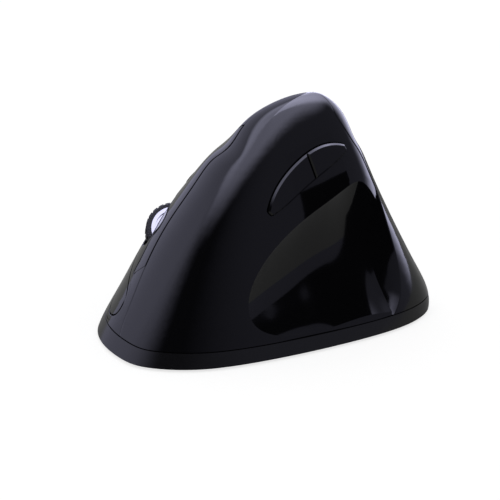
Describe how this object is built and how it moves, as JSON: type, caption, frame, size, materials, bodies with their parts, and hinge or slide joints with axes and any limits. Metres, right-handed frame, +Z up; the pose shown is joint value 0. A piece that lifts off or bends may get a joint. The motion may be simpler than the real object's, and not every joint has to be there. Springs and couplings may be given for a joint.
{
  "type": "vertical mouse",
  "caption": "Right-handed upright computer mouse with a thumb scoop, click buttons, scroll wheel, thumb buttons and a stowed wireless receiver.",
  "frame": {"origin": "middle of the bounding box on the table the mouse stands on", "axes": "+Y to the front where the fingers point, -X the thumb side, +X the finger side, +Z up"},
  "size_m": [0.0791, 0.114, 0.076],
  "materials": {
    "shell_black": "high gloss",
    "button_black": "high gloss",
    "casing_black": "satin gloss",
    "tyre_rubber": "ribbed",
    "hub_silver": "bright",
    "inner_plastic": "moulded",
    "switch_plastic": "moulded",
    "circuit_board": "lacquered",
    "clear_lens": "clear",
    "plated_steel": "plated",
    "cell_jacket": "plain",
    "glide_pad": "smooth"
  },
  "bodies": {
    "mouse_body": {"base_casing": "casing_black", "thumb_side_shell": "shell_black", "palm_shell": "shell_black", "wheel_strip": "shell_black", "button_frame": "inner_plastic", "button_board": "circuit_board", "left_microswitch": "switch_plastic", "right_microswitch": "switch_plastic", "wheel_switch": "switch_plastic", "speed_switch": "switch_plastic", "thumb_board": "circuit_board", "forward_switch": "switch_plastic", "back_switch": "switch_plastic", "main_board": "circuit_board", "sensor_lens": "clear_lens", "sensor_chip": "switch_plastic", "power_switch_body": "switch_plastic", "batteries": "cell_jacket", "battery_contacts": "plated_steel", "casing_screws": "plated_steel", "front_foot": "glide_pad", "rear_foot": "glide_pad"},
    "left_click": {"left_click_button": "button_black"},
    "right_click": {"right_click_button": "button_black"},
    "sprung_cradle": {"wheel_cradle": "inner_plastic", "wheel_encoder": "switch_plastic"},
    "scroll_wheel": {"scroll_wheel_hub": "hub_silver", "scroll_wheel_tyre": "tyre_rubber"},
    "pointer_speed": {"speed_button": "button_black"},
    "forward_key": {"forward_button": "button_black"},
    "back_key": {"back_button": "button_black"},
    "power_slider": {"power_switch_knob": "inner_plastic"},
    "bay_cover": {"battery_cover": "casing_black"},
    "receiver": {"receiver_cap": "inner_plastic", "receiver_plug": "plated_steel"}
  },
  "joints": [
    {"name": "left_click", "type": "hinge", "parent": "mouse_body", "child": "left_click", "pos_m": [0.00279, -0.00553, 0.06037], "axis": [-0.7645, 0.3239, 0.5574], "range_deg": [0, 0.8], "stiffness_Nm_per_rad": 2, "springref_deg": -0.57},
    {"name": "right_click", "type": "hinge", "parent": "mouse_body", "child": "right_click", "pos_m": [0.01646, -0.00994, 0.04222], "axis": [-0.7645, 0.3239, 0.5574], "range_deg": [0, 0.8], "stiffness_Nm_per_rad": 2, "springref_deg": -0.57},
    {"name": "wheel_click", "type": "slide", "parent": "mouse_body", "child": "sprung_cradle", "axis": [-0.6368, -0.5138, -0.5748], "range_m": [0, 0.0007], "stiffness_N_per_m": 1400, "springref_m": -0.0003},
    {"name": "wheel_spin", "type": "hinge", "parent": "sprung_cradle", "child": "scroll_wheel", "pos_m": [0.01078, 0.02458, 0.03052], "axis": [-0.7645, 0.3239, 0.5574], "continuous": true},
    {"name": "speed_press", "type": "slide", "parent": "mouse_body", "child": "pointer_speed", "axis": [-0.6368, -0.5138, -0.5748], "range_m": [0, 0.0004], "stiffness_N_per_m": 1500, "springref_m": -0.0003},
    {"name": "forward_press", "type": "slide", "parent": "mouse_body", "child": "forward_key", "axis": [1, 0, 0], "range_m": [0, 0.0006], "stiffness_N_per_m": 1200, "springref_m": -0.0003},
    {"name": "back_press", "type": "slide", "parent": "mouse_body", "child": "back_key", "axis": [1, 0, 0], "range_m": [0, 0.0006], "stiffness_N_per_m": 1200, "springref_m": -0.0003},
    {"name": "power_slide", "type": "slide", "parent": "mouse_body", "child": "power_slider", "axis": [0, 1, 0], "range_m": [0, 0.003]},
    {"name": "cover_off", "type": "slide", "parent": "mouse_body", "child": "bay_cover", "axis": [0, 0, -1], "range_m": [0, 0.02]},
    {"name": "receiver_out", "type": "slide", "parent": "mouse_body", "child": "receiver", "axis": [0, 0, -1], "range_m": [0, 0.022]}
  ]
}
